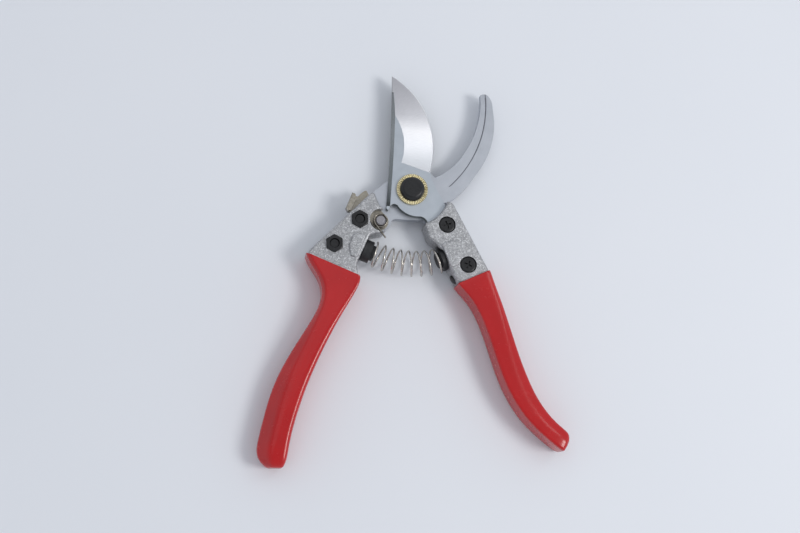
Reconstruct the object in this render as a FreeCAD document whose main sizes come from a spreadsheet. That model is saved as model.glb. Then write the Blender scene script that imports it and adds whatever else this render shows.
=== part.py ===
"""Bypass pruner: a parametric FreeCAD macro, in millimetres.

The origin is on the pivot axis, in the plane that the tool rests on.  +Y points from the pivot to
the blades, +X to the right and +Z up through the pivot bolt.  The jaws stand open.  The cutting
blade is fixed to the right handle and the hook to the left one, and each piece is a node of its own.
"""
import FreeCAD, Part
import Sketcher

import math
import os

from FreeCAD import Placement, Rotation, Vector

doc = FreeCAD.newDocument("bypass_pruner")

# ---------------------------------------------------------------- sizes

SIZES = [
    # overall reaches, measured from the pivot
    ("blade_reach", 62.5),          # to the tip of the cutting blade
    ("hook_reach", 54.4),           # to the tip of the hook
    ("left_reach", 139.9),          # to the end of the left handle's casting
    ("right_reach", 131.9),         # to the end of the right handle's casting
    # heights, from the resting plane up
    ("pivot_nut_height", 3.9),
    ("lower_washer_thick", 1.0),
    ("hook_thick", 3.6),
    ("blade_thick", 3.4),
    ("casting_floor", 1.5),
    ("casting_top", 14.9),
    ("boss_rise", 1.0),
    ("boss_round", 0.8),
    ("grip_top", 16.4),
    ("grip_wall", 1.4),
    # pivot
    ("pivot_diameter", 8.0),
    ("pivot_gap", 0.05),
    ("pivot_thread", 6.0),
    ("pivot_nut_flats", 10.0),
    ("lower_washer_diameter", 13.0),
    ("ring_diameter", 16.1),
    ("ring_base", 0.6),
    ("ring_rim", 0.8),
    ("ring_tooth_depth", 1.0),
    ("pivot_head_diameter", 12.7),
    ("pivot_head_height", 3.3),
    ("pivot_head_flat", 9.0),
    # cutting blade
    ("bevel_width", 16.1),
    ("bevel_foot", 0.8),            # thickness left where the micro bevel starts
    ("edge_land", 0.1),             # thickness of the cutting edge itself
    ("micro_bevel_width", 0.7),
    ("spine_slant", 1.6),
    ("spine_face", 0.8),            # upright part of the spine, under the slant
    # hook
    ("sap_groove_width", 0.7),
    ("sap_groove_depth", 0.45),
    # castings and blade fasteners
    ("head_arc_radius", 19.0),      # the castings stop on this circle about the pivot
    ("hook_arc_gap", 0.6),          # and the hook turns inside it by this much
    ("casting_round", 1.2),
    ("grip_round", 3.8),
    ("screw_diameter", 5.0),
    ("screw_gap", 0.1),
    ("screw_head_diameter", 8.5),
    ("screw_head_height", 1.7),
    ("screw_recess_depth", 1.9),
    ("recess_gap", 0.15),
    ("nut_flats", 8.0),
    ("nut_height", 4.0),
    ("upper_nut_sink", 2.8),        # how deep the hook's nuts sit in the casting's top
    ("lower_nut_sink", 4.2),        # and the blade's nuts in its underside
    ("screw_end", 1.0),             # how far a screw's end stops inside its nut
    ("blade_screw_inner_x", 17.7),
    ("blade_screw_inner_y", -18.5),
    ("blade_screw_outer_x", 28.4),
    ("blade_screw_outer_y", -39.0),
    ("hook_screw_inner_x", -27.0),
    ("hook_screw_inner_y", -17.1),
    ("hook_screw_outer_x", -39.7),
    ("hook_screw_outer_y", -30.1),
    # lock
    ("lock_x", -16.3),
    ("lock_y", -17.0),
    ("lock_pin_diameter", 5.2),
    ("lock_rivet_diameter", 4.0),
    ("lock_pin_height", 5.6),
    ("lock_gap", 0.05),
    ("lock_notch_radius", 5.75),
    ("lever_hub_diameter", 8.6),
    ("lever_lift", 0.2),            # clearance under the lever
    ("lever_thick", 2.4),
    ("lever_slot_height", 2.8),
    ("thumb_pad_rise", 2.2),        # of the thumb pad over the lever's plate
    ("thumb_tooth", 0.9),
    ("lock_wire", 0.8),
    ("lock_coil_gap", 0.3),         # between the pin and the wire round it
    # main spring and its seats
    ("left_seat_diameter", 11.4),
    ("right_seat_diameter", 12.0),
    ("left_seat_thick", 4.5),
    ("right_seat_thick", 2.6),
    ("seat_stud_diameter", 6.0),
    ("seat_stud_length", 3.6),
    ("seat_nub_diameter", 8.0),
    ("seat_nub_length", 1.6),
    ("seat_height", 8.2),           # of the spring's axis over the resting plane
    ("seat_face_room", 1.5),         # of the spot face round a seat
    ("left_seat_x", -24.69),
    ("left_seat_y", -31.45),
    ("left_seat_turn", -20.0),      # direction of the seat's axis, in degrees
    ("right_seat_x", 17.1),
    ("right_seat_y", -34.9),
    ("right_seat_turn", 201.5),
    ("spring_wire", 0.95),
    ("spring_diameter", 12.6),      # to the middle of the wire
    ("spring_turns", 7.0),
    # bumper
    ("bumper_x", 21.9),
    ("bumper_y", -45.7),
    ("bumper_turn", 214.5),
    ("bumper_diameter", 5.2),
    ("bumper_stand", 1.3),
    ("bumper_root", 2.4),
    ("bumper_root_diameter", 3.2),
]

sheet = doc.addObject("Spreadsheet::Sheet", "sizes")
for row, (alias, value) in enumerate(SIZES, start=1):
    sheet.set("A%d" % row, alias)
    sheet.set("B%d" % row, str(value))
    sheet.setAlias("B%d" % row, alias)
doc.recompute()


def size(alias):
    return float(sheet.get(alias))


# Heights that several pieces share, as expressions on the sheet and as numbers.
HOOK_BOTTOM = "sizes.pivot_nut_height + sizes.lower_washer_thick"
SHEAR = HOOK_BOTTOM + " + sizes.hook_thick"
BLADE_TOP = SHEAR + " + sizes.blade_thick"
LEVER_BOTTOM = SHEAR + " + sizes.lever_lift"

hook_bottom = size("pivot_nut_height") + size("lower_washer_thick")
shear = hook_bottom + size("hook_thick")
blade_top = shear + size("blade_thick")
lever_bottom = shear + size("lever_lift")

BLADE_SCREWS = [
    (size("blade_screw_inner_x"), size("blade_screw_inner_y")),
    (size("blade_screw_outer_x"), size("blade_screw_outer_y")),
]
HOOK_SCREWS = [
    (size("hook_screw_inner_x"), size("hook_screw_inner_y")),
    (size("hook_screw_outer_x"), size("hook_screw_outer_y")),
]
LOCK = (size("lock_x"), size("lock_y"))

nodes = []


# ---------------------------------------------------------------- small helpers

def polar(radius, degrees, centre=(0.0, 0.0)):
    angle = math.radians(degrees)
    return (centre[0] + radius * math.cos(angle), centre[1] + radius * math.sin(angle))


def reach(points, start, natural, wanted):
    """Stretches in Y what lies past start, so that natural moves to wanted."""
    scale = (wanted - start) / (natural - start)
    moved = []
    for x, y, *radius in points:
        past = (y - start) * math.copysign(1.0, natural - start) > 0
        moved.append((x, start + (y - start) * scale if past else y, *radius))
    return moved


def vec(point, z=0.0):
    return Vector(point[0], point[1], z)


def edges_of(start, steps):
    """Edges of a closed outline.  A step of one point is a line, and of two an arc through the first."""
    shapes = []
    here = start
    for step in steps:
        if len(step) == 1:
            shapes.append(Part.LineSegment(vec(here), vec(step[0])))
        else:
            shapes.append(Part.Arc(vec(here), vec(step[0]), vec(step[1])))
        here = step[-1]
    if vec(here).distanceToPoint(vec(start)) > 1e-6:
        shapes.append(Part.LineSegment(vec(here), vec(start)))
    return shapes


def unit(a, b):
    gap = math.hypot(b[0] - a[0], b[1] - a[1])
    return ((b[0] - a[0]) / gap, (b[1] - a[1]) / gap)


def rounded(corners):
    """Edges of a closed outline of straight runs and tangent arcs, from (x, y, radius) corners.

    Two arcs that would meet on a short run are both tightened until they fit it.
    """
    count = len(corners)
    turns = []
    for index, (x, y, radius) in enumerate(corners):
        into = unit(corners[index - 1], (x, y))
        out = unit((x, y), corners[(index + 1) % count])
        half = math.atan2(abs(into[0] * out[1] - into[1] * out[0]), into[0] * out[0] + into[1] * out[1]) / 2
        turns.append((into, out, half, radius * math.tan(half)))
    fits = []
    for index, (x, y, radius) in enumerate(corners):
        after = (index + 1) % count
        room = math.hypot(corners[after][0] - x, corners[after][1] - y) - 0.001
        fits.append(min(1.0, room / (turns[index][3] + turns[after][3])))
    arcs = []
    for index, (x, y, radius) in enumerate(corners):
        into, out, half, run = turns[index]
        fit = min(fits[index - 1], fits[index])
        run = run * fit
        aim = unit(into, out)
        rise = (radius / math.cos(half) - radius) * fit
        arcs.append((
            (x - into[0] * run, y - into[1] * run),
            (x + aim[0] * rise, y + aim[1] * rise),
            (x + out[0] * run, y + out[1] * run),
        ))
    shapes = []
    for index, (start, middle, end) in enumerate(arcs):
        shapes.append(Part.Arc(vec(start), vec(middle), vec(end)))
        following = arcs[(index + 1) % count][0]
        room = unit(corners[index], corners[(index + 1) % count])
        if (following[0] - end[0]) * room[0] + (following[1] - end[1]) * room[1] < 1e-6:
            raise ValueError("no room between corners %s and %s" % (corners[index], index + 1))
        shapes.append(Part.LineSegment(vec(end), vec(following)))
    return shapes


def offset(corners, distance):
    """The same corners, with every run moved outwards by distance."""
    count = len(corners)
    area = sum(corners[i - 1][0] * corners[i][1] - corners[i][0] * corners[i - 1][1] for i in range(count))
    side = math.copysign(1.0, area)
    moved = []
    for index, (x, y, radius) in enumerate(corners):
        into = unit(corners[index - 1], (x, y))
        out = unit((x, y), corners[(index + 1) % count])
        cross = into[0] * out[1] - into[1] * out[0]
        along = (1 - (into[0] * out[0] + into[1] * out[1])) / cross
        step = side * distance
        new_x = x + step * (into[1] + into[0] * along)
        new_y = y + step * (-into[0] + into[1] * along)
        moved.append((new_x, new_y, radius + math.copysign(distance, cross * side)))
    return moved


def new_body(label, node=True):
    body = doc.addObject("PartDesign::Body", label)
    body.Label = label
    if node:
        nodes.append(body)
    return body


def plane(body, role):
    for feature in body.Origin.OriginFeatures:
        if feature.Role == role:
            return feature
    raise ValueError(role)


def sketch(body, name, geometry, height="0", role="XY_Plane"):
    """A sketch on one of the body's origin planes, lifted off it by an expression."""
    new = body.newObject("Sketcher::SketchObject", name)
    new.AttachmentSupport = [(plane(body, role), "")]
    new.MapMode = "FlatFace"
    new.setExpression("AttachmentOffset.Base.z", height)
    new.addGeometry(geometry, False)
    return new


def circles(body, name, places, diameter, height="0"):
    """A sketch of equal circles whose diameter follows the sheet."""
    start = 0.1
    geometry = [Part.Circle(vec(place), Vector(0, 0, 1), start) for place in places]
    new = sketch(body, name, geometry, height)
    for index, place in enumerate(places):
        new.addConstraint(Sketcher.Constraint("DistanceX", index, 3, place[0]))
        new.addConstraint(Sketcher.Constraint("DistanceY", index, 3, place[1]))
        number = new.addConstraint(Sketcher.Constraint("Diameter", index, 2 * start))
        new.renameConstraint(number, "diameter_%d" % index)
        new.setExpression("Constraints.diameter_%d" % index, diameter)
    return new


def hexagon(centre, flats, turn=0.0):
    corner = flats / math.sqrt(3.0)
    points = [polar(corner, turn + 60 * k, centre) for k in range(6)]
    return edges_of(points[0], [(point,) for point in points[1:]])


def pad(body, profile, length, down=False):
    new = body.newObject("PartDesign::Pad", profile.Name + "_pad")
    new.Profile = profile
    new.Reversed = down
    new.setExpression("Length", length)
    profile.Visibility = False
    return new


def pocket(body, profile, length, up=True):
    """A pocket that cuts upwards from its sketch, or downwards."""
    new = body.newObject("PartDesign::Pocket", profile.Name + "_pocket")
    new.Profile = profile
    new.Reversed = up
    new.setExpression("Length", length)
    doc.recompute()
    before = new.BaseFeature.Shape.Volume
    if new.Shape.Volume > before - 1e-6:
        raise RuntimeError(profile.Name + " cuts nothing")
    return new


def revolve(body, name, points, kind="Revolution"):
    """Turns a profile of (radius, height) points, or pairs of them for arcs, about the body's Z axis."""
    flat = edges_of(points[0], [point if isinstance(point[0], tuple) else (point,) for point in points[1:]])
    new = sketch(body, name, flat, role="XZ_Plane")
    turned = body.newObject("PartDesign::" + kind, name + "_turned")
    turned.Profile = new
    turned.ReferenceAxis = (new, ["V_Axis"])
    turned.Angle = 360.0
    return turned


def level(edge):
    """The height of an edge that lies flat in one level, or None."""
    heights = [vertex.Z for vertex in edge.Vertexes] + [edge.valueAt(edge.ParameterRange[0])[2]]
    return heights[0] if max(heights) - min(heights) < 1e-4 else None


def long_edges(shape, heights, least):
    """Names of the edges longer than least that lie flat at one of the heights."""
    names = []
    for index, edge in enumerate(shape.Edges, start=1):
        height = level(edge)
        if height is None or edge.Length < least:
            continue
        if min(abs(height - wanted) for wanted in heights) < 1e-3:
            names.append("Edge%d" % index)
    return names


def lathe_place(body, x, y, height, turn):
    """Lays a turned piece's axis level, pointing turn degrees round from +X."""
    aim = Vector(math.cos(math.radians(turn)), math.sin(math.radians(turn)), 0)
    body.Placement = Placement(Vector(x, y, height), Rotation(Vector(0, 0, 1), aim))


def cylinder(body, kind, name, x, y, height, turn, diameter, length):
    """An additive or subtractive cylinder that lies level, for the spring seats' bosses and sockets."""
    new = body.newObject("PartDesign::%sCylinder" % kind, name)
    new.AttachmentSupport = [(plane(body, "XY_Plane"), "")]
    new.MapMode = "FlatFace"
    aim = Vector(math.cos(math.radians(turn)), math.sin(math.radians(turn)), 0)
    new.AttachmentOffset = Placement(Vector(x, y, height), Rotation(Vector(0, 0, 1), aim))
    new.setExpression("Radius", "(%s) / 2" % diameter)
    new.setExpression("Height", length)
    return new


def round_edges(body, name, heights, radius, least=0.1):
    """Fillets the edges that lie flat at the given heights."""
    doc.recompute()
    base = body.Tip
    new = body.newObject("PartDesign::Fillet", name)
    new.Base = (base, long_edges(base.Shape, heights, least))
    new.setExpression("Radius", radius)
    return new


# ---------------------------------------------------------------- outlines
# Points are (x, y) about the pivot.  The parts beyond the jaws' and handles' roots stretch with the
# overall reaches.

JAW_ROOT = 9.3
HANDLE_ROOT = -46.0


def blade_outline():
    edge = [(-9.9, 62.5), (12.12, 24.0), (9.8, 9.3), (-10.9, 23.0), (-10.05, 61.9)]
    tip, belly, heel, spine, spine_top = reach(edge, JAW_ROOT, 62.5, size("blade_reach"))
    steps = [
        (belly, heel),                              # cutting edge
        ((9.7, 7.3), (10.5, 5.2)),
        ((14.6, -2.7),),
        ((18.6, -10.0),),
        ((33.3, -38.2),),                           # tang, outer side
        ((33.6, -42.0), (30.6, -44.0)),
        ((25.9, -45.0),),
        ((24.2, -40.0),),
        ((22.6, -31.5), (19.8, -27.6)),             # round the spring seat's socket
        ((12.6, -24.5),),
        ((10.4, -20.5),),
        ((8.2, -17.4),),
        ((6.8, -15.0), (4.1, -13.9)),               # lobe under the pivot
        ((-2.3, -12.8), (-7.0, -9.1)),
        ((-9.1, -7.8), (-11.3, -9.2)),              # catch notch
        ((-12.2, -11.1),),
        ((-12.9, -10.6), (-12.95, -9.0)),           # heel
        (spine, spine_top),
    ]
    return edges_of(tip, steps)


def hook_outline():
    arc = size("head_arc_radius") - size("hook_arc_gap")
    jaw = [(37.2, 54.3), (35.6, 38.0), (29.4, 23.6), (21.3, 13.4), (12.6, 7.8),
           (44.4, 40.0), (43.6, 48.8), (42.6, 52.3), (40.6, 54.7), (39.0, 54.9)]
    jaw = reach(jaw, JAW_ROOT, 54.5, size("hook_reach"))
    tip, inner_high, inner_middle, inner_low, inner_root = jaw[:5]
    outer_high, outer_tip, crown_a, crown_b, crown_c = jaw[5:]
    outer = reach([(40.6, 21.0), (34.0, 10.1)], JAW_ROOT, 54.5, size("hook_reach"))
    steps = [
        (inner_high, inner_middle),                 # ground inner edge
        (inner_low, inner_root),
        ((0.5, 13.6), (-12.5, 4.9)),                # over the pivot
        ((-19.2, -0.4),),
        ((-21.3, -6.2),),
        ((-46.2, -30.8),),                          # tang, outer side
        ((-47.6, -34.4), (-44.6, -36.2)),
        ((-39.5, -36.4),),
        ((-33.6, -28.6),),
        ((-25.6, -23.4),),
        ((-14.5, -22.9),),
        ((-10.4, -17.6),),                          # under the lock pin
        ((-9.0, -15.1), (-7.0, -14.9)),
        ((6.5, -15.1),),
        (polar(arc, -63.0),),
        (polar(arc, -40.0), polar(arc, -17.0)),     # round inside the right casting
        ((19.4, -5.2),),
        ((27.3, 1.4), outer[1]),                    # outer edge
        (outer[0], outer_high),
        (outer_tip,),
        (crown_a, crown_b),
        (crown_c, tip),
    ]
    return edges_of(tip, steps)


def right_core():
    """The right casting inside its grip, from the outer side round the end to the inner side."""
    corners = [(40.9, -45.2, 40.0), (60.7, -104.0, 60.0), (77.8, -124.9, 2.8), (75.5, -131.9, 2.8),
               (52.1, -112.7, 75.0), (35.7, -61.2, 40.0)]
    return reach(corners, HANDLE_ROOT, -131.9, -size("right_reach"))


def right_casting():
    # The head ends in an arc about the pivot: its two tangents meet at this corner.
    arc = size("head_arc_radius")
    half = math.radians(22.5)
    throat = polar(arc / math.cos(half), -44.5)
    arc_end = polar(arc, -22.0)
    apex = (arc_end[0] + 0.50, arc_end[1] + 1.25, 0.6)
    heel = polar(arc, -67.0)
    lip = (heel[0] - 1.5 * math.cos(math.radians(23)), heel[1] - 1.5 * math.sin(math.radians(23)), 1.4)
    return [apex, (20.9, -7.0, 3.0)] + right_core() + [
        (26.3, -48.3, 2.0),
        (23.4, -48.7, 1.6),
        (13.1, -29.2, 6.0),
        (8.6, -25.6, 1.8),
        lip,
        (throat[0], throat[1], arc),
    ]


def right_grip_outline():
    inner_top = (21.8, -42.2, 5.0)
    outer_top = (35.4, -34.7, 5.0)
    return offset([outer_top] + right_core() + [inner_top], size("grip_wall"))


def left_core():
    """The left casting inside its grip, from the horn down the outer side and up the inner side."""
    corners = [(-53.4, -34.9, 2.8), (-44.6, -48.0, 12.0), (-42.4, -57.3, 14.0), (-67.8, -99.9, 78.0),
               (-75.4, -134.2, 4.5), (-70.9, -139.9, 4.0), (-63.8, -139.9, 3.0), (-55.9, -101.2, 170.0)]
    return reach(corners, HANDLE_ROOT, -139.9, -size("left_reach"))


def left_casting():
    return left_core() + [
        (-27.5, -48.2, 4.0),
        (-28.4, -39.6, 6.0),
        (-21.5, -24.6, 2.6),
        (-13.9, -23.4, 2.4),
        (-13.1, -13.4, 2.6),
        (-16.6, -9.9, 1.6),
        (-18.7, -5.6, 9.0),
        (-19.9, -1.5, 1.5),
    ]


def left_grip_outline():
    outer_top = (-43.0, -24.7, 5.0)
    inner_top = (-22.6, -39.2, 5.0)
    return offset(left_core() + [inner_top, outer_top], size("grip_wall"))


# ---------------------------------------------------------------- cutting blade

blade = new_body("cutting_blade")
blade_plate = sketch(blade, "blade_plate", blade_outline(), SHEAR)
pad(blade, blade_plate, "sizes.blade_thick")
doc.recompute()


def grind(body, name, edge, profile, sweep):
    """Grinds away a profile of (distance past the edge's arc, height), turned about the arc's centre."""
    circle = edge.toShape().Curve
    ends = edge.toShape().Vertexes
    aims = [math.degrees(math.atan2(end.Y - circle.Center.y, end.X - circle.Center.x)) for end in ends]
    points = [(circle.Radius + away, height) for away, height in profile]
    new = body.newObject("Sketcher::SketchObject", name + "_profile")
    new.AttachmentSupport = [(plane(body, "XZ_Plane"), "")]
    new.MapMode = "FlatFace"
    new.addGeometry(edges_of(points[0], [(point,) for point in points[1:]]), False)
    turned = Rotation(Vector(0, 1, 0), min(aims) + sweep / 2)
    new.AttachmentOffset = Placement(Vector(circle.Center.x, 0, -circle.Center.y), turned)
    groove = body.newObject("PartDesign::Groove", name)
    groove.Profile = new
    groove.ReferenceAxis = (new, ["V_Axis"])
    groove.Angle = sweep
    groove.Midplane = True
    doc.recompute()
    if groove.Shape.Volume > groove.BaseFeature.Shape.Volume - 1:
        raise RuntimeError(name + " cuts nothing")


# The hollow-ground bevel and the micro bevel follow the cutting edge, from the end of the grind at
# the heel to past the tip, and the slanted spine follows the back.
outline = blade_outline()
cutting_edge = outline[0]
spine = outline[-2]
over = blade_top + 1.0
grind(blade, "bevel", cutting_edge, [
    (-size("bevel_width"), blade_top),
    (-size("micro_bevel_width"), shear + size("bevel_foot")),
    (0.0, shear + size("edge_land")),
    (4.0, shear + size("edge_land")),
    (4.0, over),
    (-size("bevel_width"), over),
], 90.0)
grind(blade, "spine_slant", spine, [
    (size("spine_slant"), blade_top),
    (size("spine_slant"), over),
    (-3.0, over),
    (-3.0, shear + size("spine_face")),
    (0.0, shear + size("spine_face")),
], 4.2)

pocket(blade, circles(blade, "blade_bore", [(0, 0)], "sizes.pivot_diameter + 2 * sizes.pivot_gap",
                      SHEAR), "sizes.blade_thick")
pocket(blade, circles(blade, "blade_screw_holes", BLADE_SCREWS,
                      "sizes.screw_diameter + 2 * sizes.screw_gap", SHEAR), "sizes.blade_thick")


# ---------------------------------------------------------------- hook

hook = new_body("hook_blade")
pad(hook, sketch(hook, "hook_plate", hook_outline(), HOOK_BOTTOM), "sizes.hook_thick")
pocket(hook, circles(hook, "hook_bore", [(0, 0)], "sizes.pivot_diameter + 2 * sizes.pivot_gap",
                     HOOK_BOTTOM), "sizes.hook_thick")
pocket(hook, circles(hook, "hook_screw_holes", HOOK_SCREWS,
                     "sizes.screw_diameter + 2 * sizes.screw_gap", HOOK_BOTTOM), "sizes.hook_thick")
pocket(hook, circles(hook, "rivet_hole", [LOCK], "sizes.lock_rivet_diameter", HOOK_BOTTOM),
       "sizes.hook_thick")

# The sap groove is an arc that ends short of the tip and of the right casting.
groove_path = reach([(39.9, 53.0), (36.7, 28.9), (20.6, 3.9)], JAW_ROOT, 54.5, size("hook_reach"))
groove_arc = Part.Arc(vec(groove_path[0]), vec(groove_path[1]), vec(groove_path[2]))
half = size("sap_groove_width") / 2
spot = groove_arc.toShape().Curve.Center


def pull(point, distance):
    away = (vec(point) - spot).normalize()
    moved = vec(point) + away * distance
    return (moved.x, moved.y)


groove_steps = [
    (pull(groove_path[1], half), pull(groove_path[2], half)),
    (pull(groove_path[2], -half),),
    (pull(groove_path[1], -half), pull(groove_path[0], -half)),
]
pocket(hook, sketch(hook, "sap_groove", edges_of(pull(groove_path[0], half), groove_steps), SHEAR),
       "sizes.sap_groove_depth", up=False)


# ---------------------------------------------------------------- right handle

CASTING_HEIGHT = "sizes.casting_top - sizes.casting_floor"
CASTING_LEVELS = [size("casting_floor"), size("casting_top")]
BOSS_TOP = [size("casting_top") + size("boss_rise")]


def casting(label, corners):
    body = new_body(label)
    pad(body, sketch(body, label + "_plan", rounded(corners), "sizes.casting_floor"), CASTING_HEIGHT)
    round_edges(body, label + "_rounds", CASTING_LEVELS, "sizes.casting_round")
    return body


def grip(label, corners, handle, mouth):
    """A dipped sleeve: the casting's outline one wall thicker, cut at its mouth, less the casting."""
    plan = doc.addObject("Sketcher::SketchObject", label + "_plan")
    plan.addGeometry(rounded(corners), False)
    block = doc.addObject("Part::Extrusion", label + "_block")
    block.Base = plan
    block.DirMode = "Custom"
    block.Dir = Vector(0, 0, 1)
    block.Solid = True
    block.setExpression("LengthFwd", "sizes.grip_top")
    doc.recompute()
    names = long_edges(block.Shape, [0.0, size("grip_top")], 0.1)
    soft = doc.addObject("Part::Fillet", label + "_soft")
    soft.Base = block
    soft.Edges = [(int(name[4:]), size("grip_round"), size("grip_round")) for name in names]
    # Everything past the mouth is cut away by a box that stands on the mouth's line.
    tool = doc.addObject("Part::Box", label + "_mouth")
    tool.Length = 80
    tool.Width = 60
    tool.Height = 60
    aim = math.degrees(math.atan2(mouth[1][1] - mouth[0][1], mouth[1][0] - mouth[0][0]))
    tool.Placement = Placement(Vector(mouth[0][0], mouth[0][1], -20), Rotation(Vector(0, 0, 1), aim)) \
        .multiply(Placement(Vector(-20, 0, 0), Rotation()))
    open_end = doc.addObject("Part::Cut", label + "_open")
    open_end.Base = soft
    open_end.Tool = tool
    sleeve = doc.addObject("Part::Cut", label)
    sleeve.Base = open_end
    sleeve.Tool = handle
    sleeve.Label = label
    nodes.append(sleeve)
    return sleeve


def recess(body, name, geometry, floor, top=True):
    """Cuts upwards from floor to clear of the casting, or from its underside up to floor."""
    if top:
        pocket(body, sketch(body, name, geometry, floor), "20")
    else:
        pocket(body, sketch(body, name, geometry, floor), "20", up=False)


def discs(places, diameter):
    return [Part.Circle(vec(place), Vector(0, 0, 1), diameter / 2) for place in places]


def hexagons(places, flats, turn):
    return sum([hexagon(place, flats, turn) for place in places], [])


head_recess = size("screw_head_diameter") + 2 * size("recess_gap")
nut_recess = size("nut_flats") + 2 * size("recess_gap")
shank_hole = "sizes.screw_diameter + 2 * sizes.screw_gap"

right = casting("right_handle", right_casting())
right_boss = [(14.4, -28.9, 1.0), (20.9, -26.1, 1.6), (25.4, -35.3, 4.0), (23.4, -39.6, 2.0), (19.2, -41.0, 1.0)]
pad(right, sketch(right, "right_boss", rounded(right_boss), "sizes.casting_top - 2"), "2 + sizes.boss_rise")
round_edges(right, "right_boss_round", BOSS_TOP, "sizes.boss_round")
pocket(right, sketch(right, "blade_slot", blade_outline(), SHEAR), "sizes.blade_thick")
pocket(right, circles(right, "blade_screw_bores", BLADE_SCREWS, shank_hole), "40")
recess(right, "blade_head_recess", discs(BLADE_SCREWS, head_recess),
       "sizes.casting_top - sizes.screw_recess_depth")
recess(right, "blade_nut_recess", hexagons(BLADE_SCREWS, nut_recess, 18.0),
       "sizes.casting_floor + sizes.lower_nut_sink", top=False)
cylinder(right, "Subtractive", "right_seat_face", size("right_seat_x"), size("right_seat_y"),
         size("seat_height"), size("right_seat_turn"), "sizes.right_seat_diameter + 2 * sizes.seat_face_room", "10")
cylinder(right, "Subtractive", "right_seat_socket", size("right_seat_x"), size("right_seat_y"),
         size("seat_height"), size("right_seat_turn") + 180, "sizes.seat_stud_diameter",
         "sizes.seat_stud_length")
cylinder(right, "Subtractive", "bumper_socket", size("bumper_x"), size("bumper_y"), size("seat_height"),
         size("bumper_turn") + 180, "sizes.bumper_root_diameter", "sizes.bumper_root")


# ---------------------------------------------------------------- left handle

left = casting("left_handle", left_casting())
left_boss = [(-32.6, -31.0, 3.0), (-30.0, -24.2, 3.0), (-23.6, -25.2, 1.2), (-28.3, -37.4, 1.5), (-31.6, -36.4, 1.5)]
pad(left, sketch(left, "left_boss", rounded(left_boss), "sizes.casting_top - 2"), "2 + sizes.boss_rise")
round_edges(left, "left_boss_round", BOSS_TOP, "sizes.boss_round")
pocket(left, sketch(left, "hook_slot", hook_outline(), HOOK_BOTTOM), "sizes.hook_thick")
pocket(left, circles(left, "hook_screw_bores", HOOK_SCREWS, shank_hole), "40")
recess(left, "hook_nut_recess", hexagons(HOOK_SCREWS, nut_recess, 32.4),
       "sizes.casting_top - sizes.upper_nut_sink")
recess(left, "hook_head_recess", discs(HOOK_SCREWS, head_recess),
       "sizes.casting_floor + sizes.screw_recess_depth", top=False)
cylinder(left, "Subtractive", "left_seat_face", size("left_seat_x"), size("left_seat_y"),
         size("seat_height"), size("left_seat_turn"), "sizes.left_seat_diameter + 2 * sizes.seat_face_room", "8")
cylinder(left, "Subtractive", "left_seat_socket", size("left_seat_x"), size("left_seat_y"),
         size("seat_height"), size("left_seat_turn") + 180, "sizes.seat_stud_diameter",
         "sizes.seat_stud_length")
lever_room = [(-21.0, -18.5), (-25.6, -12.9), (-34.5, -15.5), (-36.0, -4.0), (-16.0, 6.0), (-12.0, -11.0)]
pocket(left, sketch(left, "lever_slot", edges_of(lever_room[0], [(point,) for point in lever_room[1:]]), SHEAR),
       "sizes.lever_slot_height")
recess(left, "lock_notch", discs([LOCK], 2 * size("lock_notch_radius")), SHEAR)
coil_radius = size("lock_pin_diameter") / 2 + size("lock_coil_gap") + size("lock_wire") / 2
leg_start = polar(coil_radius, 215.0, LOCK)
leg_aim = polar(1.0, 305.0)


def beside(run, across):
    """A point beside the lock spring's straight leg."""
    return (leg_start[0] + leg_aim[0] * run - leg_aim[1] * across,
            leg_start[1] + leg_aim[1] * run + leg_aim[0] * across)


leg_slot = edges_of(beside(1, 0.8), [(beside(12, 0.8),), (beside(12, -0.8),), (beside(1, -0.8),)])
recess(left, "lock_leg_slot", leg_slot, LEVER_BOTTOM + " + sizes.lever_thick + sizes.lock_wire + 0.9")


# ---------------------------------------------------------------- grips

grip("right_grip", right_grip_outline(), right, [(23.3, -48.9), (37.3, -42.4)])
grip("left_grip", left_grip_outline(), left, [(-53.9, -35.2), (-27.9, -45.9)])


# ---------------------------------------------------------------- pivot

bolt = new_body("pivot_bolt")
head_bottom = blade_top + size("ring_base")
head_top = head_bottom + size("pivot_head_height")
thread = size("pivot_thread") / 2
shoulder = size("pivot_diameter") / 2
head = size("pivot_head_diameter") / 2
flat = size("pivot_head_flat") / 2
revolve(bolt, "bolt_profile", [
    (0, 0), (thread - 0.4, 0), (thread, 0.4), (thread, hook_bottom), (shoulder, hook_bottom),
    (shoulder, head_bottom), (head, head_bottom), (head, head_bottom + 1.0),
    ((head - 0.75, head_top - 0.7), (flat, head_top)), (0, head_top),
])

ring = new_body("pivot_ring")
ring_out = size("ring_diameter") / 2
ring_in = head + 0.1
rim_top = head_bottom + size("ring_rim")
revolve(ring, "ring_profile", [
    (shoulder + 0.05, blade_top), (ring_out - 0.2, blade_top), (ring_out, blade_top + 0.2),
    (ring_out, rim_top - 0.25), (ring_out - 0.25, rim_top), (ring_in, rim_top), (ring_in, head_bottom),
    (shoulder + 0.05, head_bottom),
])
tooth = [(ring_in - 0.3, -0.45), (ring_in + size("ring_tooth_depth"), 0.0), (ring_in - 0.3, 0.45)]
tooth_cut = pocket(ring, sketch(ring, "ring_tooth", edges_of(tooth[0], [(tooth[1],), (tooth[2],)]),
                                BLADE_TOP + " + sizes.ring_base"), "5")
teeth = ring.newObject("PartDesign::PolarPattern", "ring_teeth")
teeth.Originals = [tooth_cut]
teeth.Axis = (plane(ring, "Z_Axis"), [""])
teeth.Angle = 360.0
teeth.Occurrences = 32
ring.Tip = teeth

washer = new_body("lower_washer")
washer_out = size("lower_washer_diameter") / 2
revolve(washer, "washer_profile", [
    (thread + 0.1, size("pivot_nut_height")), (washer_out - 0.2, size("pivot_nut_height")),
    (washer_out, size("pivot_nut_height") + 0.2), (washer_out, hook_bottom), (thread + 0.1, hook_bottom),
])


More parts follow.
